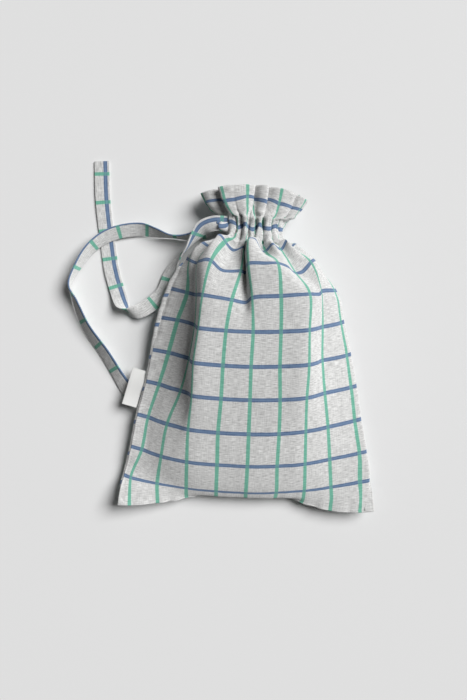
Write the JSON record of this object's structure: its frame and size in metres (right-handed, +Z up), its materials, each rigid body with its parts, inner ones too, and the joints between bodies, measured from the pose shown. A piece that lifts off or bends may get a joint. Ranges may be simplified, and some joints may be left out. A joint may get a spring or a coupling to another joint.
{
  "type": "drawstring bread bag",
  "caption": "Soft cloth bread bag with sewn side and bottom seams, a drawn neck with a frill, a flat tie running in a stitched casing, and a folded side label.",
  "frame": {"origin": "on the table under the middle of the bag's length and width, tie tails left out", "axes": "+Y from the bottom seam to the neck, +Z up out of the front panel, +X to the right seen from the front"},
  "size_m": [0.3712, 0.4086, 0.079],
  "materials": {
    "cloth": "matte plain-weave cloth with blue and green window check",
    "seam": "matte raw cloth edges, overlocked",
    "tie": "matte folded and stitched band of the same cloth",
    "thread": "matte sewing thread",
    "label": "smooth white woven label, left bare"
  },
  "bodies": {
    "bag": {"front_panel": "cloth", "back_panel": "cloth", "side_seam_left": "seam", "side_seam_right": "seam", "bottom_seam": "seam", "front_casing": "cloth", "back_casing": "cloth", "front_frill": "cloth", "back_frill": "cloth", "front_stitches_lower": "thread", "front_stitches_upper": "thread", "back_stitches_lower": "thread", "back_stitches_upper": "thread", "tie_loop": "tie"},
    "front_tie": {"front_tail": "tie"},
    "back_tie": {"back_tail": "tie"},
    "side_label": {"label": "label"}
  },
  "joints": [
    {"name": "front_tie_pull", "type": "slide", "parent": "bag", "child": "front_tie", "axis": [-1, 0, 0], "range_m": [0, 0.025]},
    {"name": "back_tie_pull", "type": "slide", "parent": "bag", "child": "back_tie", "axis": [-1, 0, 0], "range_m": [0, 0.025]},
    {"name": "label_flap", "type": "hinge", "parent": "bag", "child": "side_label", "pos_m": [-0.12931, -0.05335, 0.015], "axis": [0.1936, 0.9811, 0], "range_deg": [-12, 100]}
  ]
}
